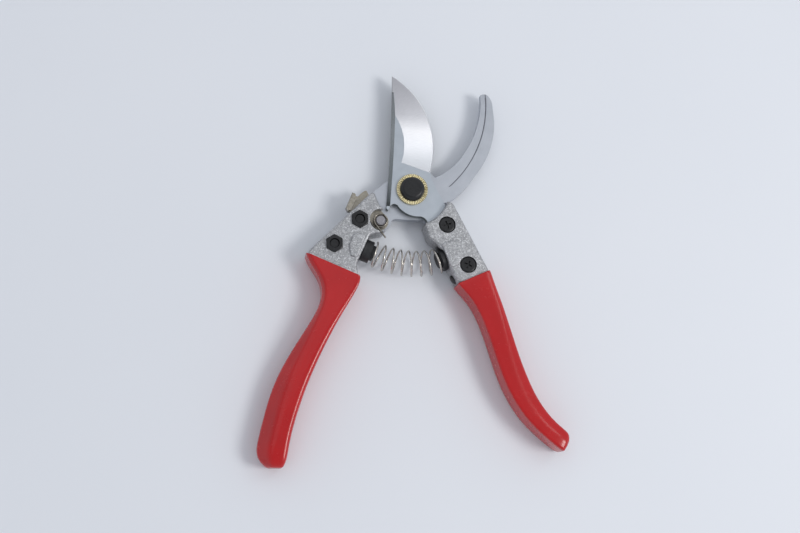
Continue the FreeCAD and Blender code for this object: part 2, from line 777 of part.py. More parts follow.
def nut(label, flats, height, bore, node=True, turn=0.0):
    """A hex nut on Z = 0 with both ends chamfered."""
    body = new_body(label, node)
    pad(body, sketch(body, label + "_hex", hexagon((0, 0), size(flats), turn)), "sizes." + height)
    pocket(body, circles(body, label + "_bore", [(0, 0)], "sizes." + bore), "sizes." + height)
    edge = size(flats) / 2
    out = size(flats) / math.sqrt(3.0) + 0.5
    drop = (out - edge) * 0.5
    top = size(height)
    revolve(body, label + "_upper_bevel", [(edge, top), (out, top - drop), (out, top + 1), (edge, top + 1)],
            "Groove")
    revolve(body, label + "_lower_bevel", [(edge, 0), (out, drop), (out, -1), (edge, -1)], "Groove")
    return body


nut("pivot_nut", "pivot_nut_flats", "pivot_nut_height", "pivot_thread", turn=12.0)


# ---------------------------------------------------------------- blade and hook fasteners

def group(label, pieces):
    """Identical pieces that share one node, as separate solids."""
    both = doc.addObject("Part::Compound", label)
    both.Label = label
    both.Links = pieces
    nodes.append(both)


def screw(label, length, turn):
    """A round head on Z = 0 with a cross recess, and its shank below."""
    body = new_body(label, node=False)
    reach_down = length
    head_out = size("screw_head_diameter") / 2
    shank = size("screw_diameter") / 2
    high = size("screw_head_height")
    revolve(body, label + "_profile", [
        (0, -reach_down), (shank - 0.4, -reach_down), (shank, 0.4 - reach_down), (shank, 0), (head_out, 0),
        (head_out, high - 0.8), ((head_out - 0.35, high - 0.25), (head_out - 1.2, high)), (0, high),
    ])
    for name, angle in (("_slot_a", turn), ("_slot_b", turn + 90)):
        corners = [polar(math.hypot(2.1, 0.45), angle + side) for side in (-12.1, 12.1, 167.9, 192.1)]
        slot = sketch(body, label + name, edges_of(corners[0], [(corner,) for corner in corners[1:]]),
                      "sizes.screw_head_height - 1.2")
        pocket(body, slot, "5")
    return body


def place(body, spot, height, upside_down=False):
    turned = Rotation(Vector(1, 0, 0), 180) if upside_down else Rotation()
    body.Placement = Placement(Vector(spot[0], spot[1], height), turned)
    return body


blade_head_seat = size("casting_top") - size("screw_recess_depth")
blade_nut_bottom = size("casting_floor") + size("lower_nut_sink") - size("nut_height")
blade_shank = blade_head_seat - blade_nut_bottom - size("screw_end")
hook_head_seat = size("casting_floor") + size("screw_recess_depth")
hook_nut_bottom = size("casting_top") - size("upper_nut_sink")
hook_shank = hook_nut_bottom + size("nut_height") - size("screw_end") - hook_head_seat

group("blade_screws", [
    place(screw("blade_screw_inner", blade_shank, 20.0), BLADE_SCREWS[0], blade_head_seat),
    place(screw("blade_screw_outer", blade_shank, 65.0), BLADE_SCREWS[1], blade_head_seat),
])
group("blade_screw_nuts", [
    place(nut("blade_nut_inner", "nut_flats", "nut_height", "screw_diameter", False, 18.0),
          BLADE_SCREWS[0], blade_nut_bottom),
    place(nut("blade_nut_outer", "nut_flats", "nut_height", "screw_diameter", False, 18.0),
          BLADE_SCREWS[1], blade_nut_bottom),
])
group("hook_screws", [
    place(screw("hook_screw_inner", hook_shank, 35.0), HOOK_SCREWS[0], hook_head_seat, True),
    place(screw("hook_screw_outer", hook_shank, 80.0), HOOK_SCREWS[1], hook_head_seat, True),
])
group("hook_nuts", [
    place(nut("hook_nut_inner", "nut_flats", "nut_height", "screw_diameter", False, 32.4),
          HOOK_SCREWS[0], hook_nut_bottom),
    place(nut("hook_nut_outer", "nut_flats", "nut_height", "screw_diameter", False, 32.4),
          HOOK_SCREWS[1], hook_nut_bottom),
])


# ---------------------------------------------------------------- lock

pin = new_body("lock_pin")
rivet = size("lock_rivet_diameter") / 2
pin_out = size("lock_pin_diameter") / 2
pin_top = size("lock_pin_height")
revolve(pin, "pin_profile", [
    (0, -size("hook_thick")), (rivet, -size("hook_thick")), (rivet, 0), (pin_out, 0),
    (pin_out, pin_top - 0.5), (pin_out - 0.5, pin_top), (0, pin_top),
])
place(pin, LOCK, shear)

lever = new_body("lock_lever")
pad(lever, circles(lever, "lever_hub", [(0, 0)], "sizes.lever_hub_diameter"), "sizes.lever_thick")
arm = [
    (-20.3, -18.5, 0.5), (-25.0, -11.8, 2.0), (-32.6, -12.6, 0.4), (-33.0, -10.6, 0.8), (-30.2, -3.6, 0.5),
    (-29.1, -3.6, 0.3), (-28.1, -4.9, 0.9), (-26.5, -3.0, 0.3), (-24.9, -1.6, 0.8), (-23.4, -1.0, 0.5),
    (-22.6, -2.6, 0.5), (-14.2, -13.4, 0.3), (-16.3, -17.0, 0.3),
]
arm = [(x - LOCK[0], y - LOCK[1], radius) for x, y, radius in arm]
pad(lever, sketch(lever, "lever_arm", rounded(arm)), "sizes.lever_thick")
# The thumb pad's outer side is ribbed: one tooth in each fifth of it.
pad_top = (-30.9, -2.9)
pad_foot = (-34.0, -10.6)
ribs = [pad_top]
for k in range(6):
    root = [pad_top[i] + (pad_foot[i] - pad_top[i]) * (k + 0.55) / 6 for i in (0, 1)]
    tip = [pad_top[i] + (pad_foot[i] - pad_top[i]) * (k + 1.0) / 6 for i in (0, 1)]
    ribs += [(root[0] + size("thumb_tooth"), root[1] - 0.3), tuple(tip)]
thumb = [(-29.2, -3.6)] + ribs + [(-33.0, -12.6), (-31.5, -11.9), (-28.9, -5.5)]
thumb = [(x - LOCK[0], y - LOCK[1]) for x, y in thumb]
pad(lever, sketch(lever, "thumb_pad", edges_of(thumb[0], [(point,) for point in thumb[1:]])),
    "sizes.lever_thick + sizes.thumb_pad_rise")
pocket(lever, circles(lever, "lever_bore", [(0, 0)], "sizes.lock_pin_diameter + 2 * sizes.lock_gap"),
       "sizes.lever_thick")
place(lever, LOCK, lever_bottom)


def sprung_wire(label, path, start, heading, wire):
    """A node of round wire that runs along a path."""
    section = Part.Wire(Part.makeCircle(wire / 2, start, heading))
    feature = doc.addObject("Part::Feature", label)
    feature.Shape = path.makePipeShell([section], True, True)
    feature.Label = label
    nodes.append(feature)
    return feature


# The lock spring's wire winds round the pin and runs off straight, so one path carries both.
lock_pitch = size("lock_wire") + 0.1
lock_turns = 2
coil_bottom = lever_bottom + size("lever_thick") + size("lock_wire") / 2 + 0.3
climb = lock_pitch / (2 * math.pi * coil_radius)
leg_height = coil_bottom + lock_pitch * lock_turns
helix = Part.makeHelix(lock_pitch, lock_pitch * lock_turns, coil_radius)
helix.Placement = Placement(Vector(LOCK[0], LOCK[1], coil_bottom), Rotation(Vector(0, 0, 1), 215.0))
coil_end = Vector(leg_start[0], leg_start[1], leg_height)
leg_end = coil_end + Vector(leg_aim[0], leg_aim[1], climb) * 9.0
lock_path = Part.Wire(helix.Edges + [Part.makeLine(coil_end, leg_end)])
sprung_wire("lock_spring", lock_path, Vector(leg_start[0], leg_start[1], coil_bottom),
            Vector(leg_aim[0], leg_aim[1], climb), size("lock_wire"))


# ---------------------------------------------------------------- spring, seats and bumper

def seat(label, side):
    body = new_body(label)
    stud = size("seat_stud_diameter") / 2
    disc = size(side + "_seat_diameter") / 2
    nub = size("seat_nub_diameter") / 2
    thick = size(side + "_seat_thick")
    front = thick + size("seat_nub_length")
    revolve(body, label + "_profile", [
        (0, -size("seat_stud_length")), (stud, -size("seat_stud_length")), (stud, 0), (disc - 0.3, 0),
        (disc, 0.3), (disc, thick - 0.3), (disc - 0.3, thick), (nub, thick), (nub, front - 0.4),
        (nub - 0.4, front), (0, front),
    ])
    lathe_place(body, size(side + "_seat_x"), size(side + "_seat_y"), size("seat_height"),
                size(side + "_seat_turn"))


seat("left_spring_seat", "left")
seat("right_spring_seat", "right")


def seat_front(side):
    x, y = size(side + "_seat_x"), size(side + "_seat_y")
    return polar(size(side + "_seat_thick"), size(side + "_seat_turn"), (x, y))


# The spring stops short of both discs, which lean away from its straight axis.
spring_ends = [seat_front("left"), seat_front("right")]
along = unit(spring_ends[0], spring_ends[1])
lean = math.radians(max(abs(size("left_seat_turn")), abs(size("right_seat_turn") - 180.0)))
mean = size("spring_diameter") / 2
wire = size("spring_wire")
shy = wire / 2 + 0.3 + (mean + wire / 2) * math.sin(lean)
span = math.hypot(spring_ends[1][0] - spring_ends[0][0], spring_ends[1][1] - spring_ends[0][1]) - 2 * shy
pitch = span / size("spring_turns")
windings = Part.Wire(Part.makeLongHelix(pitch, span, mean).Edges)
main_spring = sprung_wire("main_spring", windings, Vector(mean, 0, 0), Vector(0, 2 * math.pi * mean, pitch), wire)
main_spring.Placement = Placement(
    Vector(spring_ends[0][0] + along[0] * shy, spring_ends[0][1] + along[1] * shy, size("seat_height")),
    Rotation(Vector(0, 0, 1), Vector(along[0], along[1], 0)))

bumper = new_body("bumper")
dome = size("bumper_diameter") / 2
root = size("bumper_root_diameter") / 2
stand = size("bumper_stand")
revolve(bumper, "bumper_profile", [
    (0, -size("bumper_root")), (root, -size("bumper_root")), (root, 0), (dome, 0), (dome, 0.3),
    ((dome * 0.72, 0.3 + (stand - 0.3) * 0.7), (0.5, stand)), (0, stand),
])
lathe_place(bumper, size("bumper_x"), size("bumper_y"), size("seat_height"), size("bumper_turn"))


# ---------------------------------------------------------------- checks and export

doc.recompute()
for item in doc.Objects:
    if "Invalid" in item.State or "Error" in item.State:
        raise RuntimeError("%s did not compute" % item.Name)
for node in nodes:
    if node.Shape.isNull() or not node.Shape.isValid():
        raise RuntimeError("%s has no valid shape" % node.Label)

os.makedirs("parts", exist_ok=True)
for node in nodes:
    node.Shape.exportStep("parts/%s.step" % node.Label)
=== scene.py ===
"""Bypass pruner lying open on a pale table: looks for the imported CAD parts, in metres."""

import math

import bmesh
import bpy
from mathutils import Matrix, Vector


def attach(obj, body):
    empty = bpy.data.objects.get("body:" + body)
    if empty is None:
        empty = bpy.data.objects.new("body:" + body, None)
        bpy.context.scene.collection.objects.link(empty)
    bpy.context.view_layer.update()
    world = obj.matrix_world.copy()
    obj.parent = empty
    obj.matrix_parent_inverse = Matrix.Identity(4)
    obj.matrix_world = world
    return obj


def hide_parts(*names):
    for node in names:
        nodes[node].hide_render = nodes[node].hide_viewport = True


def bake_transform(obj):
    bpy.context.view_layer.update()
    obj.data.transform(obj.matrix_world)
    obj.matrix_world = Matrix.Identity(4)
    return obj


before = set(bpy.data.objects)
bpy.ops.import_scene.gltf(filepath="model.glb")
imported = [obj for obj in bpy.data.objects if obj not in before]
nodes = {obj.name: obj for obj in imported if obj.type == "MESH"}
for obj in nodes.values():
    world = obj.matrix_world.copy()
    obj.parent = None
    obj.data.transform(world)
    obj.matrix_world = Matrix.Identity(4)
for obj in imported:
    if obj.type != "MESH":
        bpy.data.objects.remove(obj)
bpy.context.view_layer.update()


# ---------------------------------------------------------------- stage
# The pruner lies on a plain, faintly blue white table.  The key softbox stands off to its right,
# two dim ones hang over it and behind it, and the white walls of the room fill the shadows.

def new_material(name):
    """A finish with its node tree and its Principled shader."""
    material = bpy.data.materials.new(name)
    material.use_nodes = True
    return material, material.node_tree, material.node_tree.nodes["Principled BSDF"]


def put(tree, kind, operation=None, **inputs):
    """A node of a kind, with any of its named inputs set."""
    made = tree.nodes.new(kind)
    if operation:
        made.operation = operation
    for name, value in inputs.items():
        made.inputs[name].default_value = value
    return made


def spread(tree, value, low, high, to_low=0.0, to_high=1.0):
    """Maps low..high of a value onto to_low..to_high, clamped."""
    made = put(tree, "ShaderNodeMapRange")
    for index, number in zip((1, 2, 3, 4), (low, high, to_low, to_high)):
        made.inputs[index].default_value = number
    tree.links.new(value, made.inputs[0])
    return made.outputs[0]


def colours(tree, factor, stops):
    """A colour ramp of (position, (r, g, b)) stops driven by a factor."""
    ramp = put(tree, "ShaderNodeValToRGB")
    while len(ramp.color_ramp.elements) < len(stops):
        ramp.color_ramp.elements.new(0.5)
    for element, (position, colour) in zip(ramp.color_ramp.elements, stops):
        element.position = position
        element.color = (*colour, 1.0)
    tree.links.new(factor, ramp.inputs["Fac"])
    return ramp.outputs["Color"]


def effect(name, inputs, outputs):
    """A node group with named inputs and outputs, for an effect that several finishes use."""
    group = bpy.data.node_groups.new(name, "ShaderNodeTree")
    for label, kind in inputs:
        group.interface.new_socket(label, in_out="INPUT", socket_type="NodeSocket" + kind)
    for label, kind in outputs:
        group.interface.new_socket(label, in_out="OUTPUT", socket_type="NodeSocket" + kind)
    given = group.nodes.new("NodeGroupInput").outputs
    shown = group.nodes.new("NodeGroupOutput").inputs
    return group, given, shown


def use(tree, group, **values):
    """An effect placed in a finish with its own values."""
    placed = tree.nodes.new("ShaderNodeGroup")
    placed.node_tree = group
    for name, value in values.items():
        placed.inputs[name].default_value = value
    return placed.outputs


# Grain: fine speckle fixed to the piece, from 0 to 1.
grain, given, shown = effect(
    "grain", [("Scale", "Float"), ("Detail", "Float"), ("Roughness", "Float")],
    [("Amount", "Float")])
speckle = put(grain, "ShaderNodeTexNoise")
grain.links.new(put(grain, "ShaderNodeTexCoord").outputs["Object"], speckle.inputs["Vector"])
for name in ("Scale", "Detail", "Roughness"):
    grain.links.new(given[name], speckle.inputs[name])
grain.links.new(spread(grain, speckle.outputs["Fac"], 0.3, 0.7), shown["Amount"])

TABLE_HALF = 1.5
table_mesh = bmesh.new()
bmesh.ops.create_grid(table_mesh, x_segments=8, y_segments=8, size=TABLE_HALF)
table_data = bpy.data.meshes.new("table")
table_mesh.to_mesh(table_data)
table_mesh.free()
table = bpy.data.objects.new("table", table_data)
bpy.context.scene.collection.objects.link(table)
table_paint, tree, shader = new_material("table_paint")
mottle = use(tree, grain, Scale=6.0, Detail=2.0, Roughness=0.5)["Amount"]
paint = colours(tree, mottle, [(0.0, (0.742, 0.768, 0.812)), (1.0, (0.758, 0.782, 0.824))])
tree.links.new(paint, shader.inputs["Base Color"])
shader.inputs["Roughness"].default_value = 0.65
shader.inputs["Specular IOR Level"].default_value = 0.2
table_data.materials.append(table_paint)

# The walls are lit more than the ceiling over the camera, and both are faintly blue.
WALLS, CEILING = 0.96, 0.40
ROOM_TINT = (0.915, 0.945, 1.01, 1.0)
room = bpy.data.worlds.new("room")
room.use_nodes = True
tree = room.node_tree
height = put(tree, "ShaderNodeSeparateXYZ")
tree.links.new(put(tree, "ShaderNodeTexCoord").outputs["Generated"], height.inputs[0])
tree.links.new(spread(tree, height.outputs["Z"], 0.0, 1.0, WALLS, CEILING),
               tree.nodes["Background"].inputs["Strength"])
tree.nodes["Background"].inputs["Color"].default_value = ROOM_TINT
bpy.context.scene.world = room
bpy.context.scene.view_settings.view_transform = "Standard"


TOOL_MIDDLE = Vector((0, -0.03, 0))


def softbox(name, place, size, power, colour):
    """A square area light aimed at the middle of the tool."""
    lamp = bpy.data.lights.new(name, "AREA")
    lamp.size = size
    lamp.energy = power
    lamp.color = colour
    held = bpy.data.objects.new(name, lamp)
    held.location = place
    held.rotation_euler = (TOOL_MIDDLE - Vector(place)).to_track_quat("-Z", "Y").to_euler()
    bpy.context.scene.collection.objects.link(held)


softbox("key_softbox", (0.99, -0.32, 1.20), 0.50, 9.3, (1.0, 0.985, 0.965))
softbox("top_softbox", (-0.25, 0.35, 1.10), 0.90, 1.2, (0.95, 0.975, 1.0))
softbox("back_softbox", (0.68, 0.43, 1.27), 0.36, 1.1, (1.0, 1.0, 1.0))

# The camera looks down on the tool from slightly in front and to the left.
CAMERA_AIM = Vector((-0.005736, -0.039652, 0.0085))
CAMERA_AWAY = 0.6
TO_THE_LEFT, TO_THE_FRONT = math.radians(8), math.radians(12)
lens = bpy.data.cameras.new("camera")
lens.sensor_width = 36.0
lens.lens = 53.15
camera = bpy.data.objects.new("camera", lens)
toward = Vector((-math.tan(TO_THE_LEFT), -math.tan(TO_THE_FRONT), 1.0)).normalized()
across = Vector((0, 1, 0)).cross(toward).normalized()
upward = toward.cross(across)
turned = Matrix((across, upward, toward)).transposed().to_4x4()
camera.matrix_world = Matrix.Translation(CAMERA_AIM + toward * CAMERA_AWAY) @ turned
bpy.context.scene.collection.objects.link(camera)
bpy.context.scene.camera = camera


# ---------------------------------------------------------------- cutting blade
# A carbon steel plate, satin ground on its faces, with painted shade down its sides and a painted
# highlight band across its hollow ground bevel, which is honed to a thin bright line.  It is screwed
# to the right casting and turns on the pivot bolt.

BEVEL_CENTRE = (-0.03321, 0.02365, 0.0)     # the middle of the grinding wheel's curve
FLAT_TO_BEVEL = (0.9985, 0.9955)            # how far up each of them faces
PAINTED_HIGHLIGHT_HEEL_TO_TIP = (0.008, 0.0625)
HONED_BELOW = (0.0093, 0.0090)              # the height of the thin bright line

# Ground lines: scratches of a wheel turning about a centre, and the distance from that centre.
ground_lines, given, shown = effect(
    "ground_lines", [("Centre", "Vector"), ("Along", "Float"), ("Across", "Float")],
    [("Lines", "Float"), ("Radius", "Float")])
about = put(ground_lines, "ShaderNodeVectorMath", "SUBTRACT")
ground_lines.links.new(put(ground_lines, "ShaderNodeTexCoord").outputs["Object"], about.inputs[0])
ground_lines.links.new(given["Centre"], about.inputs[1])
flat = put(ground_lines, "ShaderNodeVectorMath", "MULTIPLY")
ground_lines.links.new(about.outputs[0], flat.inputs[0])
flat.inputs[1].default_value = (1.0, 1.0, 0.0)
reach = put(ground_lines, "ShaderNodeVectorMath", "LENGTH")
ground_lines.links.new(flat.outputs[0], reach.inputs[0])
parts = put(ground_lines, "ShaderNodeSeparateXYZ")
ground_lines.links.new(flat.outputs[0], parts.inputs[0])
turn = put(ground_lines, "ShaderNodeMath", "ARCTAN2")
ground_lines.links.new(parts.outputs["Y"], turn.inputs[0])
ground_lines.links.new(parts.outputs["X"], turn.inputs[1])
wheel = put(ground_lines, "ShaderNodeCombineXYZ")
for socket, value, scale in ((0, turn.outputs[0], "Along"), (1, reach.outputs["Value"], "Across")):
    scaled = put(ground_lines, "ShaderNodeMath", "MULTIPLY")
    ground_lines.links.new(value, scaled.inputs[0])
    ground_lines.links.new(given[scale], scaled.inputs[1])
    ground_lines.links.new(scaled.outputs[0], wheel.inputs[socket])
scratches = put(ground_lines, "ShaderNodeTexNoise", Scale=1.0, Detail=3.0, Roughness=0.6)
ground_lines.links.new(wheel.outputs[0], scratches.inputs["Vector"])
ground_lines.links.new(spread(ground_lines, scratches.outputs["Fac"], 0.3, 0.7), shown["Lines"])
ground_lines.links.new(reach.outputs["Value"], shown["Radius"])


def blend_values(tree, factor, first, second):
    """Goes from the first value to the second as the factor goes from 0 to 1."""
    made = put(tree, "ShaderNodeMix")
    made.data_type = "FLOAT"
    tree.links.new(factor, made.inputs[0])
    for index, value in ((2, first), (3, second)):
        if isinstance(value, float):
            made.inputs[index].default_value = value
        else:
            tree.links.new(value, made.inputs[index])
    return made.outputs[0]


def blend_colours(tree, factor, first, second):
    """Goes from the first colour to the second as the factor goes from 0 to 1."""
    made = put(tree, "ShaderNodeMix")
    made.data_type = "RGBA"
    tree.links.new(factor, made.inputs[0])
    for index, value in ((6, first), (7, second)):
        if isinstance(value, tuple):
            made.inputs[index].default_value = (*value, 1.0)
        else:
            tree.links.new(value, made.inputs[index])
    return made.outputs[2]


def times(tree, first, second):
    """The product of two values."""
    made = put(tree, "ShaderNodeMath", "MULTIPLY")
    tree.links.new(first, made.inputs[0])
    tree.links.new(second, made.inputs[1])
    return made.outputs[0]


def bump(tree, shader, height, strength, distance):
    """Fine relief on a finish."""
    made = put(tree, "ShaderNodeBump", Strength=strength, Distance=distance)
    tree.links.new(height, made.inputs["Height"])
    tree.links.new(made.outputs["Normal"], shader.inputs["Normal"])


def place_parts(tree):
    """The x, y and z of a point on the piece."""
    split = put(tree, "ShaderNodeSeparateXYZ")
    tree.links.new(put(tree, "ShaderNodeTexCoord").outputs["Object"], split.inputs[0])
    return split.outputs


def facing_up(tree):
    """How far up the surface faces, 1 for a level top."""
    facing = put(tree, "ShaderNodeSeparateXYZ")
    tree.links.new(put(tree, "ShaderNodeNewGeometry").outputs["Normal"], facing.inputs[0])
    return facing.outputs["Z"]


blade_finish, tree, shader = new_material("blade_steel_finish")
wheel = use(tree, ground_lines, Centre=BEVEL_CENTRE, Along=110.0, Across=260.0)
place = place_parts(tree)
facing = facing_up(tree)
bevel = spread(tree, facing, *FLAT_TO_BEVEL)
cloud = use(tree, grain, Scale=160.0, Detail=3.0, Roughness=0.5)["Amount"]
fine = use(tree, grain, Scale=2600.0, Detail=2.0, Roughness=0.6)["Amount"]
satin = colours(tree, cloud, [(0.0, (0.43, 0.47, 0.515)), (1.0, (0.47, 0.51, 0.555))])
# Painted highlight: a bright band across the bevel along y, darker towards heel and tip.
bevel_painted_highlight = colours(tree, spread(tree, place["Y"], *PAINTED_HIGHLIGHT_HEEL_TO_TIP), [
    (0.0, (0.44, 0.45, 0.48)), (0.15, (0.52, 0.54, 0.57)), (0.30, (0.74, 0.75, 0.78)),
    (0.44, (0.86, 0.86, 0.88)), (0.60, (0.66, 0.66, 0.69)), (1.0, (0.56, 0.555, 0.58))])
streaks = spread(tree, wheel["Lines"], 0.0, 1.0, 0.16, 0.0)
streaked_bevel_highlight = blend_colours(tree, streaks, bevel_painted_highlight, (0.25, 0.26, 0.28))
honed = times(tree, bevel, spread(tree, place["Z"], *HONED_BELOW))
plate = blend_colours(tree, honed, blend_colours(tree, bevel, satin, streaked_bevel_highlight), (0.98, 0.98, 0.99))
# Painted shade: every side face of the blade is coloured dark grey-green.
side_painted_shade = colours(tree, fine, [(0.0, (0.07, 0.085, 0.08)), (1.0, (0.19, 0.21, 0.20))])
tree.links.new(blend_colours(tree, spread(tree, facing, 0.45, 0.75), side_painted_shade, plate),
               shader.inputs["Base Color"])
dullness = blend_values(tree, bevel, spread(tree, fine, 0.0, 1.0, 0.42, 0.50),
                        spread(tree, wheel["Lines"], 0.0, 1.0, 0.30, 0.40))
tree.links.new(dullness, shader.inputs["Roughness"])
shader.inputs["Metallic"].default_value = 0.9
bump(tree, shader, blend_values(tree, bevel, fine, wheel["Lines"]), 0.15, 0.00003)


def finish(name, material):
    """Gives a CAD piece its finish."""
    slots = nodes[name].data.materials
    slots.clear()
    slots.append(material)


finish("cutting_blade", blade_finish)


# ---------------------------------------------------------------- hook
# The counter blade is the same steel left satin, ground along its length, with a narrow sap groove
# cut beside its inner curve, whose shade is painted as a near-black line.  It is screwed to the left
# casting and holds the pivot bolt.

GROOVE_CENTRE = (-0.02188, 0.04894, 0.0)
GROOVE_RADIUS = 0.06191
GROOVE_SIDE = (0.00012, 0.00026)            # half its width, to where its dark fades out
GROOVE_START = (0.0030, 0.0036)             # where it starts, along y

hook_finish, tree, shader = new_material("hook_steel_finish")
wheel = use(tree, ground_lines, Centre=GROOVE_CENTRE, Along=6.0, Across=2200.0)
off_groove = put(tree, "ShaderNodeMath", "SUBTRACT")
tree.links.new(wheel["Radius"], off_groove.inputs[0])
off_groove.inputs[1].default_value = GROOVE_RADIUS
apart = put(tree, "ShaderNodeMath", "ABSOLUTE")
tree.links.new(off_groove.outputs[0], apart.inputs[0])
groove_shade_top = times(tree, spread(tree, place_parts(tree)["Y"], *GROOVE_START),
                spread(tree, facing_up(tree), 0.5, 0.8))
groove_painted_shade = times(tree, spread(tree, apart.outputs[0], *GROOVE_SIDE, 1.0, 0.0), groove_shade_top)
cloud = use(tree, grain, Scale=120.0, Detail=3.0, Roughness=0.5)["Amount"]
satin = colours(tree, cloud, [(0.0, (0.45, 0.475, 0.52)), (1.0, (0.50, 0.525, 0.57))])
streaks = spread(tree, wheel["Lines"], 0.0, 1.0, 0.12, 0.0)
brushed = blend_colours(tree, streaks, satin, (0.25, 0.26, 0.29))
# Painted shade of the sap groove: a near-black line.
plate = blend_colours(tree, groove_painted_shade, brushed, (0.12, 0.12, 0.14))
tree.links.new(plate, shader.inputs["Base Color"])
tree.links.new(spread(tree, wheel["Lines"], 0.0, 1.0, 0.38, 0.48), shader.inputs["Roughness"])
shader.inputs["Metallic"].default_value = 0.9
bump(tree, shader, wheel["Lines"], 0.12, 0.00003)
finish("hook_blade", hook_finish)


# ---------------------------------------------------------------- castings
# Both handles are blasted aluminium castings with a random grain whose brightest specks are painted
# glints, and edges rubbed bright, partly by wear and partly as painted highlight, and the two plates
# are screwed into them.  The tang runs on inside each grip, so only its head is shown.

# Edge wear and painted edge highlight: where the surface turns sharply, broken up by grain.
edge_wear_and_highlight, given, shown = effect(
    "edge_wear_and_highlight", [("Width", "Float"), ("Scale", "Float")], [("WearAndHighlight", "Float")])
rounded = put(edge_wear_and_highlight, "ShaderNodeBevel")
rounded.samples = 4
edge_wear_and_highlight.links.new(given["Width"], rounded.inputs["Radius"])
true_normal = put(edge_wear_and_highlight, "ShaderNodeNewGeometry")
agree = put(edge_wear_and_highlight, "ShaderNodeVectorMath", "DOT_PRODUCT")
edge_wear_and_highlight.links.new(rounded.outputs[0], agree.inputs[0])
edge_wear_and_highlight.links.new(true_normal.outputs["Normal"], agree.inputs[1])
ragged = put(edge_wear_and_highlight, "ShaderNodeTexNoise", Detail=3.0)
on_piece = put(edge_wear_and_highlight, "ShaderNodeTexCoord").outputs["Object"]
edge_wear_and_highlight.links.new(on_piece, ragged.inputs["Vector"])
edge_wear_and_highlight.links.new(given["Scale"], ragged.inputs["Scale"])
sharp = spread(edge_wear_and_highlight, agree.outputs["Value"], 0.80, 0.98, 1.0, 0.0)
broken = spread(edge_wear_and_highlight, ragged.outputs["Fac"], 0.35, 0.6)
edge_wear_and_highlight.links.new(times(edge_wear_and_highlight, sharp, broken), shown["WearAndHighlight"])

casting_finish, tree, shader = new_material("cast_aluminium")
grit = use(tree, grain, Scale=1500.0, Detail=4.0, Roughness=0.75)["Amount"]
crystals = put(tree, "ShaderNodeTexVoronoi", Scale=2000.0)
tree.links.new(put(tree, "ShaderNodeTexCoord").outputs["Object"], crystals.inputs["Vector"])
glint = put(tree, "ShaderNodeSeparateColor")
tree.links.new(crystals.outputs["Color"], glint.inputs[0])
cloud = use(tree, grain, Scale=260.0, Detail=3.0, Roughness=0.5)["Amount"]
speckle_and_painted_glint = times(tree, glint.outputs[0], grit)
rubbed_edge_and_highlight = use(tree, edge_wear_and_highlight, Width=0.0006, Scale=900.0)["WearAndHighlight"]
# Random grain tone; its brightest specks are painted glints.
blasted_with_painted_glints = colours(tree, speckle_and_painted_glint, [(0.0, (0.29, 0.295, 0.305)), (0.35, (0.45, 0.455, 0.47)),
                                  (0.75, (0.80, 0.81, 0.83)), (1.0, (0.95, 0.96, 0.98))])
stains = spread(tree, cloud, 0.0, 1.0, 0.25, 0.0)
stained = blend_colours(tree, stains, blasted_with_painted_glints, (0.22, 0.225, 0.23))
# Edges lightened: partly rubbed wear, partly painted highlight.
tree.links.new(blend_colours(tree, rubbed_edge_and_highlight, stained, (0.72, 0.73, 0.75)), shader.inputs["Base Color"])
tree.links.new(spread(tree, cloud, 0.0, 1.0, 0.42, 0.56), shader.inputs["Roughness"])
shader.inputs["Metallic"].default_value = 0.7
bump(tree, shader, speckle_and_painted_glint, 0.45, 0.00010)


def keep_piece(name, shape, material):
    """Turns a finished bmesh into a piece of the scene."""
    bmesh.ops.recalc_face_normals(shape, faces=shape.faces)
    data = bpy.data.meshes.new(name)
    shape.to_mesh(data)
    shape.free()
    data.materials.append(material)
    piece = bpy.data.objects.new(name, data)
    bpy.context.scene.collection.objects.link(piece)
    return piece


def into_grip(outer, inner):
    """The direction from a grip's mouth towards its end."""
    along = (inner - outer).normalized().cross(Vector((0, 0, 1)))
    return -along if along.y > 0 else along


def casting(name, source, body, mouth_outer, mouth_inner):
    """The casting as far as a little way inside the mouth of its grip."""
    shape = bmesh.new()
    shape.from_mesh(nodes[source].data)
    bmesh.ops.remove_doubles(shape, verts=shape.verts, dist=SAME_PLACE)
    inward = into_grip(mouth_outer, mouth_inner)
    everything = shape.verts[:] + shape.edges[:] + shape.faces[:]
    cut = bmesh.ops.bisect_plane(shape, geom=everything, dist=ON_THE_CUT, clear_outer=True,
                                 plane_co=mouth_outer + inward * TANG_SHOWN, plane_no=inward)
    rim = [item for item in cut["geom_cut"] if isinstance(item, bmesh.types.BMEdge)]
    bmesh.ops.contextual_create(shape, geom=rim)
    piece = keep_piece(name, shape, casting_finish)
    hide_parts(source)
    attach(piece, body)


TANG_SHOWN = 0.0035                         # how far inside the mouth the casting is cut
SAME_PLACE = 1e-6
ON_THE_CUT = 1e-7
LEFT_MOUTH = (Vector((-0.0539, -0.0352, 0.0)), Vector((-0.0279, -0.0459, 0.0)))
RIGHT_MOUTH = (Vector((0.0393, -0.0414, 0.0)), Vector((0.0233, -0.0489, 0.0)))
casting("right_casting", "right_handle", "right", *RIGHT_MOUTH)
casting("left_casting", "left_handle", "left", *LEFT_MOUTH)


# ---------------------------------------------------------------- grips
# Each casting's tang is dipped in glossy red vinyl.  It is flat on top, soft along the inner
# edge, and on the left grip the outer side falls away in a slope that widens towards the end.

